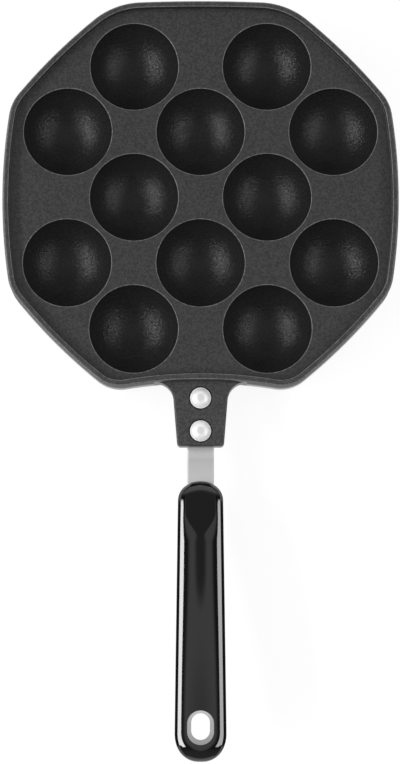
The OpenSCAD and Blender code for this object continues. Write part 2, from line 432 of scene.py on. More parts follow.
def new_object(name: str, bm: bmesh.types.BMesh) -> Solid:
    """Makes an object of a bmesh and frees it.

    Args:
        name: The object's name.
        bm: Its mesh.

    Returns:
        The object, linked to the scene.
    """
    bmesh.ops.recalc_face_normals(bm, faces=bm.faces)
    mesh = bpy.data.meshes.new(name)
    bm.to_mesh(mesh)
    bm.free()
    return linked(name, mesh)


def loft(name: str, rings: Sequence[Sequence[Placed]]) -> Solid:
    """A closed solid through rings of equally many points, with flat ends.

    Args:
        name: The object's name.
        rings: The rings, from one end to the other.

    Returns:
        The object.
    """
    bm = bmesh.new()
    rows = [[bm.verts.new(p) for p in ring] for ring in rings]
    count = len(rows[0])
    for low, high in zip(rows, rows[1:]):
        for i in range(count):
            j = (i + 1) % count
            bm.faces.new((low[i], low[j], high[j], high[i]))
    bm.faces.new(tuple(reversed(rows[0])))
    bm.faces.new(tuple(rows[-1]))
    return new_object(name, bm)


def block(name: str, low: Placed, high: Placed) -> Solid:
    """An upright block between two opposite corners."""
    ring = ((low[0], low[1]), (high[0], low[1]), (high[0], high[1]), (low[0], high[1]))
    return loft(name, [[(x, y, z) for x, y in ring] for z in (low[2], high[2])])


def turned(name: str, profile: Sequence[Point], steps: int = 96) -> Solid:
    """A solid of revolution about Z.

    Args:
        name: The object's name.
        profile: Radius and height, from the lower to the upper point on the axis.
        steps: Segments round the axis.

    Returns:
        The object.
    """
    bm = bmesh.new()
    angles = [2.0 * pi * i / steps for i in range(steps)]
    rows = []
    for radius, height in profile:
        row = angles if radius > 0.0 else [0.0]
        rows.append([bm.verts.new((radius * cos(a), radius * sin(a), height)) for a in row])
    for low, high in zip(rows, rows[1:]):
        for i in range(steps):
            j = (i + 1) % steps
            corners = [low[i % len(low)], low[j % len(low)], high[j % len(high)], high[i % len(high)]]
            unique = list(dict.fromkeys(corners))
            if len(unique) > 2:
                bm.faces.new(unique)
    return new_object(name, bm)


class Join(Enum):
    """Ways to combine two solids."""

    ADD = "UNION"
    CUT = "DIFFERENCE"


def combine(target: Solid, tool: Solid, how: Join) -> None:
    """Applies one solid to another and deletes the tool.

    Args:
        target: The solid that is changed.
        tool: The solid that is added or cut.
        how: Whether it is added or cut.
    """
    modifier = target.modifiers.new(how.name, "BOOLEAN")
    modifier.operation = how.value
    modifier.solver = "EXACT"
    modifier.object = tool
    bpy.context.view_layer.update()
    graph = bpy.context.evaluated_depsgraph_get()
    made = bpy.data.meshes.new_from_object(target.evaluated_get(graph))
    target.modifiers.clear()
    old = target.data
    target.data = made
    bpy.data.meshes.remove(old)
    bpy.data.objects.remove(tool)


def moved(obj: Solid, matrix: Matrix) -> Solid:
    """Moves an object's mesh, and leaves the object at the origin."""
    obj.data.transform(matrix)
    return obj


def smooth(obj: Solid, sharp_degrees: float) -> None:
    """Shades a mesh smooth, keeps edges sharper than an angle, and lets flat faces lead their corners.

    Args:
        obj: The object.
        sharp_degrees: The angle from which an edge stays sharp.
    """
    bm = bmesh.new()
    bm.from_mesh(obj.data)
    for face in bm.faces:
        face.smooth = True
    limit = radians(sharp_degrees)
    for edge in bm.edges:
        edge.smooth = len(edge.link_faces) == 2 and edge.calc_face_angle(0.0) < limit
    bm.to_mesh(obj.data)
    bm.free()
    weighted = obj.modifiers.new("even_normals", "WEIGHTED_NORMAL")
    weighted.keep_sharp = True
    weighted.weight = 80


def place_piece(obj: Solid, node: str, materials: Sequence[Material]) -> None:
    """Gives a piece its metres, finish and place in the frame.

    Args:
        obj: The piece, modelled in millimetres.
        node: The solid that it stands for.
        materials: Its materials, in the order of its faces' numbers.
    """
    obj.data.transform(Matrix.Scale(MM, 4))
    finishes = [face.material_index for face in obj.data.polygons]
    obj.data.materials.clear()
    for material in materials:
        obj.data.materials.append(material)
    obj.data.polygons.foreach_set("material_index", finishes)
    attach(obj, "root")
    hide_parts(node)
    LOG.info("%s: %d faces", obj.name, len(obj.data.polygons))


def arc(centre: Point | Vector, radius: float, start: float, stop: float, steps: int) -> list[Point]:
    """Points along a circle from one angle to another, in degrees, with both ends."""
    angles = [radians(start + (stop - start) * i / steps) for i in range(steps + 1)]
    return [(centre[0] + radius * cos(a), centre[1] + radius * sin(a)) for a in angles]


def heading(v: Vector) -> float:
    """Direction of a flat vector, from 0 to 360 degrees."""
    return degrees(atan2(v.y, v.x)) % 360.0


def left_meeting(c1: Vector, r1: float, c2: Vector, r2: float) -> Vector:
    """The left one of the two points where two circles meet.

    Args:
        c1: Centre of the first circle.
        r1: Its radius.
        c2: Centre of the second circle.
        r2: Its radius.

    Returns:
        The point.
    """
    gap = c2 - c1
    a = (r1 * r1 - r2 * r2 + gap.length_squared) / (2.0 * gap.length)
    foot = c1 + gap.normalized() * a
    side = Vector((-gap.y, gap.x)).normalized() * sqrt(r1 * r1 - a * a)
    return min((foot + side, foot - side), key=lambda p: p.x)


def rounded_corner(p0: Vector, p1: Vector, p2: Vector, radius: float, steps: int) -> list[Point]:
    """The corner p1 of a path from p0 to p2, rounded.

    Args:
        p0: A point before the corner.
        p1: The corner.
        p2: A point after the corner.
        radius: Radius of the rounding.
        steps: Steps along it.

    Returns:
        Points along the rounding.
    """
    u = (p0 - p1).normalized()
    v = (p2 - p1).normalized()
    half = acos(max(-1.0, min(1.0, u.dot(v)))) / 2.0
    centre = p1 + (u + v).normalized() * (radius / sin(half))
    start = heading(p1 + u * (radius / tan(half)) - centre)
    stop = heading(p1 + v * (radius / tan(half)) - centre)
    turn = (stop - start + 540.0) % 360.0 - 180.0
    return arc(centre, radius, start, start + turn, steps)


def mirrored(half: Sequence[Point]) -> list[Point]:
    """A closed outline from its left half, whose first and last points lie on the middle line."""
    return [*half, *[(-x, y) for x, y in reversed(half[1:-1])]]


# ---- The pan ----


@dataclass
class PanShape:
    """Sizes of the casting in millimetres, about the middle of its cups."""

    cup_step: float = 33.6
    cup_r: float = 21.9
    cup_depth: float = 20.0
    cup_wall: float = 2.4
    foot_r: float = 9.0
    side_reach: float = 99.9
    slant_reach: float = 103.6
    far_reach: float = 100.4
    near_reach: float = 93.3
    bow_r: float = 284.0
    far_bow_r: float = 760.0
    hollow_r: float = 227.0
    far_corner_r: float = 38.5
    side_corner_r: float = 22.5
    near_corner_r: float = 18.5
    plate_t: float = 3.0
    rim_w: float = 3.0
    rim_rise: float = 4.5
    skirt_z: float = 9.0
    boss_root_w: float = 28.6
    boss_end_w: float = 23.4
    boss_len: float = 33.1
    boss_t: float = 9.0
    root_r: float = 9.0
    end_r: float = 2.0
    rivet_inset: float = 8.9
    rivet_gap: float = 16.6
    spot_r: float = 5.95
    spot_h: float = 0.5
    fine: int = 4
    plate_z: float = field(init=False)
    middle_y: float = field(init=False)

    def __post_init__(self) -> None:
        """Reads the plate's height and the pan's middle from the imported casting."""
        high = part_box("pan")[1]
        self.plate_z = high.z / MM - self.rim_rise
        self.middle_y = high.y / MM - self.far_reach

    @property
    def rim_z(self) -> float:
        """Top of the rim."""
        return self.plate_z + self.rim_rise

    @property
    def under_z(self) -> float:
        """Underside of the plate."""
        return self.plate_z - self.plate_t

    @property
    def seat_z(self) -> float:
        """Underside of the boss and of the strip."""
        return self.plate_z - self.boss_t

    @property
    def boss_end_y(self) -> float:
        """End of the boss."""
        return -self.near_reach - self.boss_len

    @property
    def ball_r(self) -> float:
        """Radius of a cup's inside."""
        return (self.cup_r**2 + self.cup_depth**2) / (2.0 * self.cup_depth)

    @property
    def ball_z(self) -> float:
        """Height of the centre of a cup's ball."""
        return self.plate_z - self.cup_depth + self.ball_r

    @property
    def rivet_ys(self) -> list[float]:
        """Places of the two rivets along the handle."""
        first = -self.near_reach - self.rivet_inset
        return [first, first - self.rivet_gap]

    @cached_property
    def cup_places(self) -> list[Point]:
        """Middles of the twelve cups, in rows of two and three."""
        grid = [(column, row) for row in range(-2, 3) for column in range(-2, 3)]
        return [(self.cup_step * c, self.cup_step * r) for c, r in grid if (c + r) % 2 and abs(c * r) < 4]

    @cached_property
    def bows(self) -> list[tuple[Vector, float]]:
        """The outward bows of the edge, from the far one anticlockwise.

        Returns:
            Centre and radius of each.
        """
        side, slant = (self.side_reach, self.bow_r), (self.slant_reach, self.bow_r)
        turns = (90.0, 135.0, 180.0, 225.0, 315.0, 0.0, 45.0)
        sizes = ((self.far_reach, self.far_bow_r), slant, side, slant, slant, side, slant)
        return [
            (Vector((cos(a), sin(a))) * (reach - radius), radius)
            for a, (reach, radius) in zip(map(radians, turns), sizes)
        ]

    def outline(self, inset: float) -> list[Point]:
        """The pan's edge, drawn in by a distance.

        Args:
            inset: How far inside the outermost edge.

        Returns:
            Points from the far middle, anticlockwise.
        """
        bow, far_r, side, near_r = self.bow_r, self.far_corner_r, self.side_corner_r, self.near_corner_r
        far, upper, left, lower = (centre for centre, _ in self.bows[:4])
        hollow = Vector((0.0, -self.near_reach - self.hollow_r))
        k1 = left_meeting(far, self.far_bow_r - far_r, upper, bow - far_r)
        k2 = left_meeting(upper, bow - side, left, bow - side)
        k3 = left_meeting(left, bow - side, lower, bow - side)
        k4 = left_meeting(lower, bow - near_r, hollow, self.hollow_r + near_r)
        arcs = (
            (far, self.far_bow_r, 4, k1 - far), (k1, far_r, 5, k1 - upper), (upper, bow, 8, k2 - upper),
            (k2, side, 5, k2 - left), (left, bow, 8, k3 - left), (k3, side, 5, k3 - lower),
            (lower, bow, 8, k4 - lower), (k4, near_r, 7, hollow - k4),
        )
        half: list[Point] = []
        start = 90.0
        for centre, radius, steps, towards in arcs:
            stop = heading(towards)
            half += arc(centre, radius - inset, start, stop, steps * self.fine)[:-1]
            start = stop
        half += arc(hollow, self.hollow_r + inset, heading(k4 - hollow), 90.0, 4 * self.fine)
        return mirrored(half)

    def contains(self, point: Point, inset: float) -> bool:
        """Whether a point lies inside the edge, drawn in by a distance."""
        beyond = any(dist(point, centre) > radius - inset for centre, radius in self.bows)
        return not beyond and dist(point, (0.0, -self.near_reach - self.hollow_r)) > self.hollow_r + inset

    def boss_outline(self, inset: float) -> list[Point]:
        """The boss's edge, drawn in by a distance.

        Args:
            inset: How far inside the outermost edge.

        Returns:
            Points from the middle of its root, anticlockwise.
        """
        back = -self.near_reach + 1.5
        wall = -self.near_reach - 0.9
        wide = self.boss_root_w / 2.0 + self.root_r + 3.0
        root = Vector((-self.boss_root_w / 2.0 + inset, wall))
        end = Vector((-self.boss_end_w / 2.0 + inset, self.boss_end_y + inset))
        half = [(0.0, back), (-wide, back)]
        half += rounded_corner(Vector((-wide - 1.0, wall)), root, end, self.root_r + inset, 20)
        half += rounded_corner(root, end, Vector((0.0, end.y)), self.end_r - inset, 10)
        return mirrored([*half, (0.0, end.y)])


class PanFace(Enum):
    """The finishes of the casting's faces, by their number on the mesh."""

    PLATE = 0
    CUP = 1
    BARE = 2
    FOOT = 3
    RIM = 4
    # Lighter coat tone on the rim's rounded edges and the cups' mouths: painted highlight lines along those
    # edges.
    EDGE = 5


@dataclass
class Pan:
    """The casting: plate, cups, rim, wall and boss."""

    shape: PanShape
    edge_steps: int = 6
    rim_inner_r: float = 0.45
    rim_root_r: float = 0.35
    boss_edge_r: float = 1.0
    foot_edge: float = 0.3
    mouth_r: float = 0.5
    mouth_depth: float = 0.9
    spread: float = 0.35
    # Depth below the plate down to which a cup's mouth carries the painted highlight, and from which the cup
    # coat starts.
    mouth_highlight_depth: float = 0.47
    plate_inset: float = 1.6

    @staticmethod
    def _stack(name: str, outline: Callable[[float], list[Point]], profile: Sequence[Point]) -> Solid:
        """A solid through an outline that is drawn in by the given insets at the given heights."""
        return loft(name, [[(x, y, z) for x, y in outline(inset)] for inset, z in profile])

    def _plate_and_wall(self) -> Solid:
        """The plate with its rim and its outer wall, rounded along the rim.

        Returns:
            The solid.
        """
        s, steps = self.shape, self.edge_steps
        outer, inner, root = s.rim_w / 2.0 - 0.1, self.rim_inner_r, self.rim_root_r
        profile = [
            (s.rim_w + 1.1, s.under_z), (s.rim_w + 0.35, s.under_z - 0.3), (s.rim_w, s.under_z - 1.0),
            (s.rim_w - 0.3, s.skirt_z + 0.3), (s.rim_w - 0.6, s.skirt_z), (0.6, s.skirt_z),
            (0.3, s.skirt_z + 0.15), (0.15, s.skirt_z + 0.5),
        ]
        profile += arc((outer, s.rim_z - outer), outer, 180.0, 90.0, steps)
        profile += arc((s.rim_w - inner, s.rim_z - inner), inner, 90.0, 0.0, steps)
        profile += arc((s.rim_w + 0.1 + root, s.plate_z + root), root, 180.0, 270.0, steps - 1)
        return self._stack("pan", s.outline, profile)

    def _boss(self) -> Solid:
        """The boss that carries the handle.

        Returns:
            The solid.
        """
        s, r = self.shape, self.boss_edge_r
        edge = arc((r, s.plate_z - r), r, 180.0, 90.0, self.edge_steps)
        return self._stack("boss", s.boss_outline, [(0.5, s.seat_z), (0.0, s.seat_z + 0.5), *edge])

    def _cup_shell(self) -> Solid:
        """The outside of a cup, with its flat foot.

        Returns:
            The solid to add.
        """
        s, edge = self.shape, self.foot_edge
        r = s.ball_r + s.cup_wall
        foot_h = s.ball_z - sqrt(r * r - s.foot_r**2)
        top = s.under_z + s.plate_t / 2.0
        first = degrees(asin(s.foot_r / r))
        last = degrees(acos((s.ball_z - top) / r))
        profile = [(0.0, 0.0), (s.foot_r - edge, 0.0), (s.foot_r, edge), (s.foot_r, foot_h)]
        profile += [*arc((0.0, s.ball_z), r, first - 90.0, last - 90.0, 24)[1:], (0.0, top)]
        return turned("shell", profile, 120)

    def _cup_hollow(self) -> Solid:
        """The inside of a cup, flaring into a rounded mouth.

        Returns:
            The solid to cut.
        """
        s, r, steps = self.shape, self.mouth_r, 32
        turn_at = acos((s.ball_z - s.plate_z + self.mouth_depth) / s.ball_r)
        profile = [(0.0, s.ball_z - s.ball_r)]
        for i in range(1, steps + 1):
            a = turn_at * i / steps
            wide = s.ball_r + self.spread * (i / steps) ** 2
            profile.append((wide * sin(a), s.ball_z - s.ball_r * cos(a)))
        profile += arc((s.cup_r + 0.03 + self.spread + r, s.plate_z + 0.02 - r), r, 170.0, 96.0, 8)[1:]
        wide = profile[-1][0]
        profile += [(wide + 0.25, s.plate_z + 0.03), (wide + 0.3, s.plate_z + 2.0), (0.0, s.plate_z + 2.0)]
        return turned("hollow", profile, 144)

    def _face_of(self, polygon: bpy.types.MeshPolygon) -> PanFace:
        """The finish of one face of the mesh.

        Args:
            polygon: The face, with the cups' middle at the origin.

        Returns:
            Its finish.
        """
        s, (x, y, z), normal = self.shape, polygon.center, polygon.normal
        depth = s.plate_z - z
        from_cup = min(dist((x, y), p) for p in s.cup_places)
        from_rivet = min(dist((x, y), (0.0, rivet_y)) for rivet_y in s.rivet_ys)
        in_cup = depth > self.mouth_highlight_depth and dist((from_cup, z), (0.0, s.ball_z)) < s.ball_r + 0.6
        # Cups take the cup coat; so does the spot face round each rivet's head, as painted shade: a dark ring
        # round the head.
        if in_cup or from_rivet < s.spot_r + 0.1 and 0.01 < depth < s.spot_h + 0.1:
            return PanFace.CUP
        # A narrow band inside each cup's mouth gets the painted highlight, a light line along the rounded
        # mouth.
        if from_cup < s.cup_r + 0.95 and 0.01 < depth < self.mouth_highlight_depth:
            return PanFace.EDGE
        if from_cup < s.foot_r and z < 0.2:
            return PanFace.FOOT
        if z > s.rim_z - s.rim_w / 2.0:
            # On the rim, faces turned partly upwards on its outer and inner roundings get the painted
            # highlight: light lines along the rim's edges.
            low, high = (0.5, 0.85) if normal.x * x + normal.y * y > 0.0 else (0.25, 0.97)
            return PanFace.EDGE if low < normal.z < high else PanFace.RIM
        if z > s.under_z + 0.5 and s.contains((x, y), self.plate_inset):
            return PanFace.PLATE
        on_boss = y < -s.near_reach - 0.3 and abs(x) < s.boss_root_w / 2.0 + s.root_r
        return PanFace.RIM if on_boss and z > s.seat_z + 0.1 and normal.z > -0.3 else PanFace.BARE

    def _paint(self, obj: Solid) -> None:
        """Numbers each face by its finish, and stores the distance from the nearest cup's middle.

        Args:
            obj: The casting, with the cups' middle at the origin.
        """
        for polygon in obj.data.polygons:
            polygon.material_index = self._face_of(polygon).value
        from_foot = obj.data.attributes.new("foot_radius", "FLOAT", "POINT")
        for vertex, stored in zip(obj.data.vertices, from_foot.data):
            stored.value = min(dist(vertex.co[:2], p) for p in self.shape.cup_places)

    def build(self) -> None:
        """Builds and finishes the casting."""
        s = self.shape
        pan = self._plate_and_wall()
        combine(pan, self._boss(), Join.ADD)
        for cup_side, how in ((self._cup_shell, Join.ADD), (self._cup_hollow, Join.CUT)):
            for x, y in s.cup_places:
                combine(pan, moved(cup_side(), Matrix.Translation((x, y, 0.0))), how)
        low, high = s.plate_z - s.spot_h, s.plate_z + 1.0
        for y in s.rivet_ys:
            spot = turned("spot", [(0.0, low), (s.spot_r, low), (s.spot_r, high), (0.0, high)])
            combine(pan, moved(spot, Matrix.Translation((0.0, y, 0.0))), Join.CUT)
        half, start, end = StripShape.width / 2.0 + 0.1, s.rivet_ys[0] + 5.7, s.boss_end_y - 1.0
        tray = block("tray", (-half, end, s.seat_z - 1.0), (half, start, s.seat_z + StripShape.thick))
        combine(pan, tray, Join.CUT)
        self._paint(pan)
        smooth(pan, 32.0)
        moved(pan, Matrix.Translation((0.0, s.middle_y, 0.0)))
        finishes = (
            NonStickCoat("coated_plate", 0.026, 0.45, 0.46, 0.9, relief=0.35),
            NonStickCoat("coated_cup", 0.0185, 0.15, 0.17, 1.15, relief=1.0, ior=1.34, depth_mm=0.36),
            BareCasting("bare_casting", s.plate_z - 9.5, s.plate_z - 3.5),
            TurnedFoot("turned_foot"),
            NonStickCoat("coated_rim", 0.039, 0.4, 0.36, 0.9, relief=0.3),
            # Painted highlight on rounded edges: a much lighter coat tone standing in for the lamps'
            # reflection lines.
            NonStickCoat("painted_edge_highlight", 0.15, 0.3, 0.34, 0.9, relief=0.3),
        )
        place_piece(pan, "pan", [finish.make() for finish in finishes])


# ---- The handle ----


@dataclass(frozen=True)
class StripShape:
    """Sizes of the steel strip in millimetres."""

    width: float = 13.6
    thick: float = 2.6
    rise: float = 10.0
    bend_r: float = 15.0
    inside_grip: float = 46.0
    grip_gap: float = 17.3
    screw_inset: float = 31.0
    edge_r: float = 0.8
    screw_seat: float = 5.2


@dataclass
class HandleFrame:
    """Where the sloping handle lies, about the middle of the cups."""

    pan: PanShape
    strip: StripShape

    @property
    def strip_z(self) -> float:
        """Middle of the strip under the boss."""
        return self.pan.seat_z + self.strip.thick / 2.0

    @property
    def bend_y(self) -> float:
        """Where the strip starts to bend up."""
        return self.pan.boss_end_y - 4.0

    @property
    def grip_y(self) -> float:
        """Front of the grip."""
        return self.pan.boss_end_y - self.strip.grip_gap

    @property
    def grip_z(self) -> float:
        """Middle of the strip at the front of the grip."""
        rise, r = radians(self.strip.rise), self.strip.bend_r
        straight = self.bend_y - r * sin(rise) - self.grip_y
        return self.strip_z + r * (1.0 - cos(rise)) + straight * tan(rise)

    def matrix(self) -> Matrix:
        """Places what is modelled along -Y from the grip's front."""
        move = Matrix.Translation((0.0, self.pan.middle_y + self.grip_y, self.grip_z))
        return move @ Matrix.Rotation(-radians(self.strip.rise), 4, "X")


@dataclass
class Tang:
    """The flat steel strip between the boss and the grip."""

    frame: HandleFrame

    def build(self) -> None:
        """Builds and finishes the strip, a flat bar with rounded edges and one bend."""
        f, s = self.frame, self.frame.strip
        rise = radians(s.rise)
        stations = [(f.pan.rivet_ys[0] + 5.5, f.strip_z, 0.0)]
        for a in (rise * i / 10 for i in range(11)):
            stations.append((f.bend_y - s.bend_r * sin(a), f.strip_z + s.bend_r * (1.0 - cos(a)), a))
        stations.append((f.grip_y - s.inside_grip * cos(rise), f.grip_z + s.inside_grip * sin(rise), rise))
        wide, high, edge = s.width / 2.0 - s.edge_r, s.thick / 2.0 - s.edge_r, s.edge_r
        section: list[Point] = []
        for x, t, start in ((1, 1, 0.0), (-1, 1, 90.0), (-1, -1, 180.0), (1, -1, 270.0)):
            section += arc((x * wide, t * high), edge, start, start + 90.0, 5)
        rings = []
        for y, z, a in stations:
            rings.append([(x, y + t * sin(a), z + t * cos(a)) for x, t in section])
        tang = loft("tang", rings)
        smooth(tang, 35.0)
        moved(tang, Matrix.Translation((0.0, f.pan.middle_y, 0.0)))
        place_piece(tang, "tang", [RolledSteel("satin_strip", 0.66, 0.5).make()])


@dataclass
class Rivet:
    """One domed rivet through the boss and the strip."""

    frame: HandleFrame
    name: str
    y: float
    head_d: float = 10.5
    head_h: float = 3.0
    shank_d: float = 5.0
    tail_r: float = 4.0
    tail_h: float = 1.6
    mark_r: float = 2.2
    mark_h: float = 0.18

    def build(self) -> None:
        """Builds and finishes the rivet."""
        pan, tail_r, shank_r, head_r = self.frame.pan, self.tail_r, self.shank_d / 2.0, self.head_d / 2.0
        seat, under, low = pan.plate_z - pan.spot_h, pan.seat_z, pan.seat_z - self.tail_h
        dome_r = (head_r**2 + self.head_h**2) / (2.0 * self.head_h)
        reach = asin(head_r / dome_r)
        profile = [
            (0.0, low), (tail_r - 1.2, low), (tail_r - 0.5, low + 0.25), (tail_r - 0.1, low + 0.8),
            (tail_r, under), (shank_r, under), (shank_r, seat), (head_r - 0.25, seat), (head_r, seat + 0.3),
        ]
        for i in range(2, 49):
            a = reach * (1.0 - i / 48)
            r = dome_r * sin(a)
            sunk = self.mark_h * max(0.0, 1.0 - (r / self.mark_r) ** 2) ** 2
            profile.append((r if i < 48 else 0.0, seat + self.head_h - dome_r * (1.0 - cos(a)) - sunk))
        rivet = turned(self.name, profile)
        # Each point's distance from the axis, which places the painted reflection in the middle of the head.
        reflection_radii = rivet.data.attributes.new("painted_reflection_radius", "FLOAT", "POINT")
        for vertex, stored in zip(rivet.data.vertices, reflection_radii.data):
            stored.value = hypot(vertex.co.x, vertex.co.y)
        smooth(rivet, 40.0)
        moved(rivet, Matrix.Translation((0.0, pan.middle_y + self.y, 0.0)))
        # Nearly white with little metal: partly the rivet's pale aluminium, partly painted sheen for the
        # bright reflections on a dome; the spot darkens the middle as a painted reflection.
        metal = BrightMetal(self.name, 0.98, 0.45, metal=0.25, spot=0.74)
        place_piece(rivet, self.name, [metal.make()])


@dataclass
class Grip:
    """The moulded grip with its hanging hole."""

    frame: HandleFrame
    length: float = 140.2
    front_w: float = 22.3
    rear_w: float = 25.4
    top: float = 7.57
    under: float = 8.0
    belly: float = 1.8
    under_square: float = 2.6
    crown_start: float = 4.0
    crown_end: float = 27.5
    facet_w: float = 2.5
    band_w: float = 1.45
    band_slope: float = 42.0
    flat_turn: float = 5.0
    flat_len: Point = (18.0, 32.0)
    nose_drop: float = 1.8
    nose_len: float = 28.0
    nose_roll: float = 6.8
    nose_arch: float = 4.5
    nose_round: float = 10.8
    tail_round: float = 13.6
    droop: float = 9.0
    droop_start: float = 50.0
    droop_len: float = 90.3
    droop_power: float = 2.5
    tail_thin: float = 2.0
    hole_w: float = 9.2
    hole_len: float = 13.0
    hole_inset: float = 16.9
    hole_edge: float = 2.3
    hole_depth: float = 11.5
    hole_skew: float = 0.9

    def _swell(self, s: float, front: float, rear: float, power: float = 2.2) -> float:
        """How full a section is, where the nose and the squarer tail round off over these lengths."""
        f, r = max(0.0, 1.0 - s / front), max(0.0, 1.0 - (self.length - s) / rear)
        return sqrt(1.0 - f * f) * max(0.0, 1.0 - r**power) ** (1.0 / power)

    def across(self, s: float) -> float:
        """How full a section is across the grip."""
        return self._swell(s, self.nose_round, self.tail_round)

    def half_w(self, s: float) -> float:
        """Half of the grip's width."""
        wide = self.front_w + (self.rear_w - self.front_w) * s / (self.length - self.hole_inset)
        return wide / 2.0 * self.across(s)

    def bend(self, s: float) -> float:
        """How far the end has bent down, as a share of the whole."""
        return (max(0.0, s - self.droop_start) / self.droop_len) ** self.droop_power

    def up(self, s: float) -> float:
        """Height above the grip's middle line, before its ends round off."""
        nose = self.nose_drop * max(0.0, 1.0 - s / self.nose_len) ** 1.6
        return self.top - nose - self.tail_thin * self.bend(s)

    def down(self, s: float) -> float:
        """Depth below the grip's middle line."""
        belly = self.belly * sin(pi * s / self.length)
        return (self.under + belly - self.tail_thin * self.bend(s)) * self._swell(s, 9.0, 10.0)

    def _upper_half(self, half: float, flat: float) -> list[Point]:
        """The right half of the top: crowned, with a facet and a narrow band along the side.

        Args:
            half: Half of the full width.
            flat: How flat the crown's middle is, from 0 to 1.

        Returns:
            Distance from the middle line and drop from the crown, from the side inwards.
        """
        low, high = radians(self.crown_start), radians(self.crown_end)
        reach = half - self.facet_w
        outer = (1.0 - flat) * reach / sin(high) + flat * self.flat_turn
        inner = (reach - outer * (sin(high) - sin(low))) / sin(low)
        crown = [(inner * sin(low * i / 6), inner * (1.0 - cos(low * i / 6))) for i in range(6)]
        base = inner * (1.0 - cos(low)) + outer * cos(low)
        shift = (inner - outer) * sin(low)
        crown += arc((shift, base), outer, self.crown_start - 90.0, self.crown_end - 90.0, 16)
        facet_end = Vector((half - self.band_w, crown[-1][1] + (self.facet_w - self.band_w) * tan(high)))
        edge = Vector((half, facet_end.y + self.band_w * tan(radians(self.band_slope))))
        crown += rounded_corner(Vector(crown[-1]), facet_end, edge, 0.5, 4)
        crown += rounded_corner(facet_end, edge, edge + Vector((0.0, 3.0)), 0.5, 8)
        return crown[::-1]

    def _section(self, s: float) -> list[Placed]:
        """One cross-section: a crowned top with bevelled shoulders, and a rounder underside.

        Args:
            s: Its place along the grip.

        Returns:
            Points round it, from the right side over the top.
        """
        half, up, down, wide = self.half_w(s), self.up(s), self.down(s), self.across(s)
        lowered = self.droop * self.bend(s)
        t = min(1.0, max(0.0, (self.flat_len[1] - s) / (self.flat_len[1] - self.flat_len[0])))
        crown: list[Point] = []
        for x, drop in self._upper_half(half / wide, t * t * (3.0 - 2.0 * t)):
            nose = self.nose_roll + self.nose_arch * (x * wide / half) ** 2
            crown.append((x * wide, (up - drop) * self._swell(s, nose, 9.0)))
        right = [*[(half, crown[0][1] * i / 6) for i in range(6)], *crown]
        points = [(x, -s, z - lowered) for x, z in [*right, *[(-x, z) for x, z in reversed(right[:-1])]]]
        square = self.under_square
        for a in (pi * (1.0 + i / 48) for i in range(1, 48)):
            r = (abs(cos(a)) ** square + abs(sin(a)) ** square) ** (-1.0 / square)
            points.append((half * r * cos(a), -s, down * r * sin(a) - lowered))
        return points

    def _stations(self) -> list[float]:
        """Spaces the cross-sections, close together where the ends round off.

        Returns:
            Their places along the grip.
        """
        nose, tail = self.nose_round, self.tail_round
        front = [nose * (1.0 - cos(radians(a))) for a in range(6, 90, 4)]
        middle = [nose + (self.length - nose - tail) * i / 80 for i in range(81)]
        rear = [self.length - tail * (1.0 - sin(radians(a))) for a in range(4, 86, 4)]
        return [*front, *middle, *rear]

    def _oval_ring(self, grow: float, z: float, crowned: bool = False) -> list[Placed]:
        """The hanging hole's outline.

        Args:
            grow: How far it is grown.
            z: Its height.
            crowned: Whether it follows the crown across the grip, and is drawn towards the end.

        Returns:
            Its points.
        """
        run = (self.hole_len - self.hole_w) / 2.0
        r = self.hole_w / 2.0 + grow
        points = [*arc((0.0, run), r, 0.0, 180.0, 32), *arc((0.0, -run), r, 180.0, 360.0, 32)]
        if not crowned:
            return [(x, y, z) for x, y in points]
        slope = self._upper_half(self.half_w(self.length - self.hole_inset), 0.0)[::-1]
        ring: list[Placed] = []
        for x, y in points:
            at = max(i for i, (across, _) in enumerate(slope[:-1]) if across <= abs(x))
            (x0, d0), (x1, d1) = slope[at], slope[at + 1]
            drop = d0 + (d1 - d0) * (abs(x) - x0) / (x1 - x0)
            ring.append((x, y - self.hole_skew * grow / self.hole_edge, z - drop))
        return ring

    def _hole(self) -> Solid:
        """The hanging hole, flaring into a rounded edge at both faces.

        Returns:
            The solid to cut.
        """
        e, lower_r, upper_r = self.hole_edge, 1.5, 0.35
        at = self.length - self.hole_inset
        low, high = -self.down(at), self.up(at)
        rings = [self._oval_ring(1.7, low - 2.0), self._oval_ring(1.6, low - 0.05)]
        for grow, z in arc((lower_r, low + lower_r), lower_r, 260.0, 180.0, 5):
            rings.append(self._oval_ring(grow, z))
        upper = arc((e, high - upper_r), upper_r, 165.0, 90.0, 6)
        for grow, z in [(0.0, high - self.hole_depth), *upper, (e, high + 2.0)]:
            rings.append(self._oval_ring(grow, z, crowned=True))
        run = (at - self.droop_start) / self.droop_len
        lean = atan(self.droop_power * self.droop / self.droop_len * run ** (self.droop_power - 1.0))
        place = Matrix.Translation((0.0, -at, -self.droop * self.bend(at))) @ Matrix.Rotation(lean, 4, "X")
        return moved(loft("hole", rings), place)

    def build(self) -> None:
        """Builds and finishes the grip."""
        grip = loft("grip", [self._section(s) for s in self._stations()])
        combine(grip, self._hole(), Join.CUT)
        strip = self.frame.strip
        half_w, half_t = strip.width / 2.0 + 0.1, strip.thick / 2.0
        socket = block("socket", (-half_w, -strip.inside_grip - 0.5, -half_t), (half_w, 1.0, half_t))
        combine(grip, socket, Join.CUT)
        low, seat, wide, thin = -15.0, -strip.screw_seat, 5.3, 2.8
        steps = [(0.0, low), (wide, low), (wide, seat), (thin, seat), (thin, 0.0), (0.0, 0.0)]
        well = turned("well", steps, 64)
        combine(grip, moved(well, Matrix.Translation((0.0, -strip.screw_inset, 0.0))), Join.CUT)
        smooth(grip, 38.0)
        moved(grip, self.frame.matrix())
        place_piece(grip, "grip", [MouldedBakelite("moulded_black", 0.003).make()])


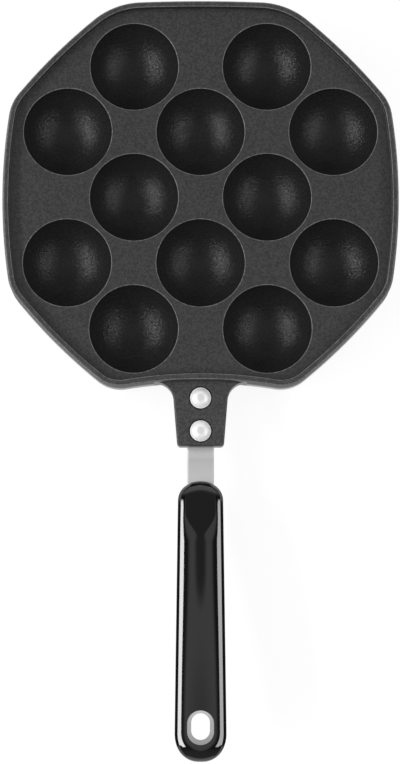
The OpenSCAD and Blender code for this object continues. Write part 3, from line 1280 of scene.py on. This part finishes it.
@dataclass
class GripScrew:
    """The screw under the grip."""

    frame: HandleFrame
    head_r: float = 4.5
    head_h: float = 2.8
    head_roll: Point = (1.8, 1.4)
    shank_r: float = 2.5
    slot_half: Point = (2.4, 0.6)
    slot_depth: float = 1.5

    def build(self) -> None:
        """Builds and finishes the screw."""
        strip, r, h, (roll_r, roll_h) = self.frame.strip, self.head_r, self.head_h, self.head_roll
        top = h + strip.screw_seat + strip.thick / 2.0
        profile = [(0.0, 0.0), (r - roll_r, 0.0)]
        for a in (radians(15.0 * i) for i in range(1, 7)):
            profile.append((r - roll_r + roll_r * sin(a), roll_h - roll_h * cos(a)))
        profile += [(r, h - 0.2), (r - 0.2, h), (self.shank_r, h), (self.shank_r, top), (0.0, top)]
        screw = turned("grip_screw", profile, 64)
        x, y = self.slot_half
        for turn in (0.0, pi / 2.0):
            slot = block("slot", (-x, -y, -1.0), (x, y, self.slot_depth))
            combine(screw, moved(slot, Matrix.Rotation(turn, 4, "Z")), Join.CUT)
        smooth(screw, 35.0)
        lower = Matrix.Translation((0.0, -strip.screw_inset, -strip.screw_seat - h))
        moved(screw, self.frame.matrix() @ lower)
        place_piece(screw, "grip_screw", [BrightMetal("plated_screw", 0.7, 0.22).make()])


# ---- The studio ----


@dataclass
class Studio:
    """Camera, floor, sky and softboxes. Lengths are in metres, and those of aim and lens in millimetres."""

    pan: PanShape
    tilt: float = 7.18
    distance: float = 1.6
    lens: float = 150.4
    aim: Point = (-0.28, -94.15)
    ceiling: float = 0.72
    walls: float = 0.06
    far_wall: float = 1.3
    near_wall: float = 0.2
    box_size: Point = (1.75, 0.24)

    def camera(self) -> None:
        """Looks down on the pan as the photograph does."""
        data = bpy.data.cameras.new("camera")
        data.lens = self.lens
        data.sensor_width = 36.0
        data.clip_start, data.clip_end = 0.05, 20.0
        camera = linked("camera", data)
        tilt = radians(self.tilt)
        aim = Vector((self.aim[0], self.pan.middle_y + self.aim[1], self.pan.plate_z)) * MM
        camera.location = aim + Vector((0.0, -sin(tilt), cos(tilt))) * self.distance
        camera.rotation_euler = (tilt, 0.0, 0.0)
        bpy.context.scene.camera = camera

    def floor(self) -> None:
        """A pale floor a hair below the feet of the cups, so that its face and theirs don't coincide."""
        bm = bmesh.new()
        bmesh.ops.create_grid(bm, x_segments=1, y_segments=1, size=4.0)
        floor = moved(new_object("floor", bm), Matrix.Translation((0.0, 0.0, -0.2 * MM)))
        floor.data.materials.append(PaleFloor("pale_floor", 0.18, 0.87).make())

    def sky(self) -> None:
        """A pale ceiling with the camera's dark place in it, over dim walls."""
        g = Graph(bpy.data.worlds.new("studio"), "ShaderNodeOutputWorld")
        way = g.wire(g.add("ShaderNodeTexCoord"), "Generated")
        light = g.axis(way, "Z").fades(0.68, 0.80)
        for stretch, centre, near, far, least in (
            ((0.55, 1.0, 1.0), (0.0, 0.545, 0.839), 0.165, 0.24, 0.2),
            ((0.5, 1.0, 1.0), (0.0, -0.05, 1.0), 0.05, 0.38, 0.7),
        ):
            place = g.stretched(way, stretch)
            gap = g.add("ShaderNodeVectorMath", {"operation": "DISTANCE"}, {0: place, 1: centre})
            light = light * (least + (1.0 - least) * g.wire(gap, "Value").fades(near, far))
        depth = g.axis(way, "Y")
        ends = self.far_wall * depth.fades(0.55, 0.92) + self.near_wall * (0.0 - depth).fades(0.5, 0.8)
        walls = g.blend(ends, grey(self.walls), grey(1.0))
        colour = g.blend(light, walls, grey(self.ceiling))
        back = g.add("ShaderNodeBackground", None, {"Color": colour, "Strength": 1.0})
        g.tree.links.new(back.outputs[0], g.output.inputs["Surface"])
        bpy.context.scene.world = g.owner

    def softboxes(self) -> None:
        """Two long lamps, one on each side, that face the pan. A radiance of 1 is white."""
        wide, high = self.box_size
        for name, side, radiance in (("softbox_left", -1.0, 14.0), ("softbox_right", 1.0, 7.0)):
            data = bpy.data.lights.new(name, "AREA")
            data.shape = "RECTANGLE"
            data.size, data.size_y = wide, high
            data.energy = radiance * pi * wide * high
            lamp = linked(name, data)
            place = Vector((side * 1.2, -0.12, 0.85))
            lamp.location = place
            lamp.rotation_euler = (Vector((0.0, 0.0, 0.02)) - place).to_track_quat("-Z", "Y").to_euler()

    def build(self) -> None:
        """Sets the whole studio up."""
        self.camera()
        self.floor()
        self.sky()
        self.softboxes()
        bpy.context.scene.view_settings.view_transform = "Standard"


def main() -> None:
    """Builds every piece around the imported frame."""
    logging.basicConfig(level=logging.INFO, format="%(name)s: %(message)s")
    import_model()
    shape = PanShape()
    frame = HandleFrame(shape, StripShape())
    Studio(shape).build()
    Pan(shape).build()
    Tang(frame).build()
    for name, y in zip(("rivet_front", "rivet_rear"), shape.rivet_ys):
        Rivet(frame, name, y).build()
    Grip(frame).build()
    GripScrew(frame).build()


if __name__ == "__main__":
    main()
